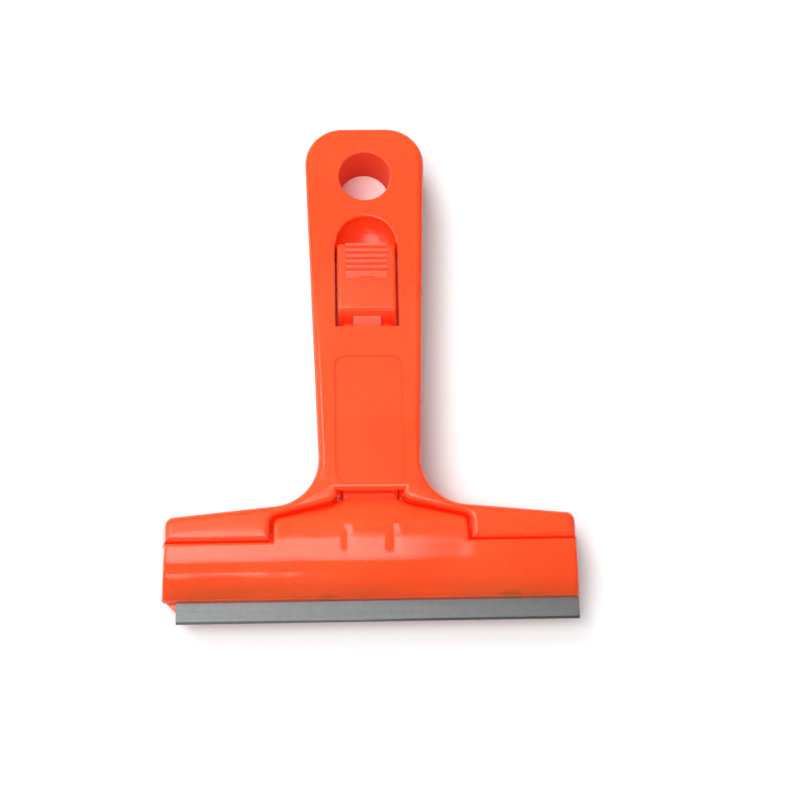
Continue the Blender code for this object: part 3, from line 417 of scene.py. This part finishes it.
def rolled_steel(name, colour, along, roughness, metallic=1.0):
    """Drawn or rolled metal, with its grain running along one axis."""
    graph = Graph(name)
    stretch = [900, 900, 900]
    stretch[along] = 14
    grain = graph.noise(1, 4, graph.scaled(*stretch), 0.65)
    dull = graph.ramp(graph.noise(420, 4, None, 0.7), 0.38, 0.62)
    tone = graph.plus(graph.times(grain, 0.5), graph.times(dull, 0.4))
    shade = graph.mix(tone, [c * 1.07 for c in colour], [c * 0.87 for c in colour])
    specks = graph.ramp(graph.noise(1700, 1), 0.70, 0.78, 0.0, 0.35)
    shade = graph.mix(specks, shade, [min(c * 1.8, 1) for c in colour])
    rough = graph.ramp(grain, 0.3, 0.7, roughness - 0.03, roughness + 0.04)
    normal = graph.bump(grain, 0.002 * MM, 0.25)
    return graph.finish(Base_Color=shade, Roughness=rough, Normal=normal, Metallic=metallic)


def refined(node, piece, material):
    """A welded copy of a CAD node in its finish, ready for smooth shading."""
    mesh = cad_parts[node].data.copy()
    mesh.name = piece
    body = bmesh.new()
    body.from_mesh(mesh)
    bmesh.ops.remove_doubles(body, verts=body.verts, dist=0.0004 * MM)
    body.to_mesh(mesh)
    body.free()
    mesh.attributes.remove(mesh.attributes["custom_normal"])
    obj = bpy.data.objects.new(piece, mesh)
    bpy.context.scene.collection.objects.link(obj)
    mesh.materials.clear()
    mesh.materials.append(material)
    return obj


def smooth(obj):
    obj.data.shade_smooth()
    obj.data.set_sharp_from_angle(angle=SMOOTH_ANGLE)
    weighted = obj.modifiers.new("weighted", "WEIGHTED_NORMAL")
    weighted.keep_sharp = True
    weighted.weight = 80


def cut_along(body, axis, stations):
    """Adds an edge line at each station along an axis."""
    normal = Vector((0, 0, 0))
    normal[axis] = 1
    for station in stations:
        geometry = body.verts[:] + body.edges[:] + body.faces[:]
        bmesh.ops.bisect_plane(
            body, geom=geometry, dist=0.0005 * MM, plane_co=normal * station, plane_no=normal
        )


def spaced(low, high, pitch):
    count = round((high - low) / pitch)
    return [low + (high - low) * number / count for number in range(count + 1)]


def fade(value, start, reach):
    """0 up to a start, then a smooth rise to 1; with a negative reach, it rises the other way."""
    share = min(max((value - start) / reach, 0), 1)
    return share * share * (3 - 2 * share)


def jaw_relief(x, y):
    """How far the moulding's surface has sunk at a place on the front jaw."""
    along = fade(y, SINK_LOW_Y, 1.6 * MM) * fade(y, SINK_HIGH_Y, -3 * MM)
    depth = 0
    for place, sunk in zip(SINK_PLACES, SINK_DEPTHS):
        depth += sunk * math.exp(-(((x - place) / SINK_HALF_WIDTH) ** 2)) * along
    middle = fade(abs(x), SADDLE_HALF_WIDTH + 2.2 * MM, -5 * MM)
    drop = fade(y, JAW_SEAM_Y + 2.6 * MM, -3.4 * MM) * fade(y, JAW_LIP_Y, 9 * MM)
    depth += MIDDLE_DROP * middle * drop
    inside = fade(abs(x), JAW_HALF_WIDTH - 2 * MM, -4 * MM)
    inside *= fade(y, JAW_LIP_Y + 1 * MM, 4 * MM)
    wave = math.sin(x / (7.1 * MM) + 1.3) + 0.6 * math.sin(x / (3.3 * MM) + y / (5 * MM))
    return depth + WAVE_DEPTH * (0.8 + 0.5 * wave) * inside


def mould_lever(obj):
    """Sink marks, a sunk middle and slow waves in the front jaw."""
    body = bmesh.new()
    body.from_mesh(obj.data)
    across = spaced(-51 * MM, 51 * MM, 1.5 * MM)
    for place in SINK_PLACES:
        across += spaced(place - 3 * MM, place + 3 * MM, 0.3 * MM)
    cut_along(body, 0, across)
    cut_along(body, 1, spaced(JAW_LIP_Y + 1 * MM, RELIEF_TOP_Y, 0.8 * MM))
    body.normal_update()
    for vertex in body.verts:
        x, y, z = vertex.co
        if y < RELIEF_TOP_Y and z > RELIEF_LEAST_Z and vertex.normal.z > 0.5:
            vertex.co.z -= jaw_relief(x, y)
    body.to_mesh(obj.data)
    body.free()


def spring_path():
    """Middle line of the wire (a leg, the coil, the other leg), and half the coil's length."""
    start = math.atan2(LEG_TIP[1], LEG_TIP[0]) - math.acos(COIL_RADIUS / math.hypot(*LEG_TIP))
    sweep = 2 * math.pi * COIL_TURNS + start - math.pi / 2
    half = COIL_PITCH * sweep / (2 * math.pi) / 2
    steps = COIL_STEPS * COIL_TURNS
    points = [Vector((half, *LEG_TIP))]
    for step in range(steps + 1):
        angle = start - sweep * step / steps
        x = half - 2 * half * step / steps
        points.append(Vector((x, COIL_RADIUS * math.cos(angle), COIL_RADIUS * math.sin(angle))))
    points.append(Vector((-half, LEVER_LEG, COIL_RADIUS)))
    return [HINGE_PLACE + point for point in points], half


def wind_spring(piece, material):
    """The wire as a round smooth tube, which twists between the handle and the lever."""
    points, half = spring_path()
    curve = bpy.data.curves.new(piece, "CURVE")
    curve.dimensions = "3D"
    curve.bevel_depth = WIRE_RADIUS
    curve.bevel_resolution = 5
    curve.use_fill_caps = True
    spline = curve.splines.new("POLY")
    spline.points.add(len(points) - 1)
    for place, point in zip(spline.points, points):
        place.co = (*point, 1)
    tube = bpy.data.objects.new("tube", curve)
    mesh = bpy.data.meshes.new_from_object(tube)
    bpy.data.objects.remove(tube)
    mesh.name = piece
    mesh.materials.clear()
    mesh.materials.append(material)
    spring = bpy.data.objects.new(piece, mesh)
    bpy.context.scene.collection.objects.link(spring)
    smooth(spring)
    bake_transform(spring)
    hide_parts("torsion_spring")


def lay_floor():
    body = bmesh.new()
    bmesh.ops.create_grid(body, x_segments=1, y_segments=1, size=FLOOR_HALF_WIDTH)
    mesh = bpy.data.meshes.new("floor")
    body.to_mesh(mesh)
    body.free()
    floor = bpy.data.objects.new("floor", mesh)
    bpy.context.scene.collection.objects.link(floor)
    floor.location.z = -FLOOR_BELOW
    graph = Graph("floor_paper")
    colour = graph.mix(graph.noise(6, 3), PAPER, [c * 0.985 for c in PAPER])
    seen = graph.math("MAXIMUM", graph.ray("Is Camera Ray"), graph.ray("Is Glossy Ray"))
    seen = graph.math("MAXIMUM", seen, graph.ray("Is Transmission Ray"))
    colour = graph.mix(seen, PAPER_BOUNCE, colour)
    normal = graph.bump(graph.noise(1500, 2), 0.01 * MM, 0.2)
    mesh.materials.append(graph.finish(Base_Color=colour, Roughness=PAPER_ROUGHNESS, Normal=normal))


def hang_softbox(name, place, aim, size, power, mirrored):
    data = bpy.data.lights.new(name, "AREA")
    data.shape = "RECTANGLE"
    data.size, data.size_y = size
    data.energy = power
    light = bpy.data.objects.new(name, data)
    light.visible_glossy = mirrored
    bpy.context.scene.collection.objects.link(light)
    light.location = place
    light.rotation_mode = "QUATERNION"
    light.rotation_quaternion = (Vector(place) - Vector(aim)).to_track_quat("Z", "Y")


def light_studio():
    """The softboxes, and a world that gloss mirrors darker than it lights."""
    for softbox in SOFTBOXES:
        hang_softbox(*softbox)
    world = bpy.data.worlds.new("studio")
    bpy.context.scene.world = world
    world.use_nodes = True
    tree = world.node_tree
    background = tree.nodes["Background"]
    background.inputs["Color"].default_value = (1, 1, 1, 1)
    path = tree.nodes.new("ShaderNodeLightPath")
    strength = tree.nodes.new("ShaderNodeMapRange")
    tree.links.new(path.outputs["Is Glossy Ray"], strength.inputs["Value"])
    strength.inputs["To Min"].default_value = WORLD_STRENGTH
    strength.inputs["To Max"].default_value = WORLD_MIRRORED
    tree.links.new(strength.outputs["Result"], background.inputs["Strength"])
    bpy.context.scene.view_settings.view_transform = "Standard"


def dress_tool():
    handle_look = plastic("handle_plastic_look", handle_wear, HANDLE_SCRATCHES)
    handle = refined("handle", "handle_moulding", handle_look)
    smooth(handle)
    lever_look = plastic("lever_plastic_look", lever_wear_and_painted_light, LEVER_SCRATCHES)
    lever = refined("clamp_lever", "lever_moulding", lever_look)
    mould_lever(lever)
    smooth(lever)
    blade_look = rolled_steel("blade_look", STEEL, 0, 0.42, 0.7)
    blade = refined("scraper_blade", "blade_strip", blade_look)
    pin = refined("hinge_pin", "pin_rod", rolled_steel("pin_look", WIRE_STEEL, 0, 0.28))
    smooth(pin)
    wind_spring("spring_wire", rolled_steel("spring_look", WIRE_STEEL, 1, 0.25))
    for obj, node, body, slot in (
        (handle, "handle", "handle", "handle_plastic"),
        (lever, "clamp_lever", "lever", "lever_plastic"),
        (blade, "scraper_blade", "blade", "blade_steel"),
        (pin, "hinge_pin", "handle", "pin_steel"),
    ):
        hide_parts(node)
        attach(obj, body)


place_camera()
lay_floor()
light_studio()
dress_tool()
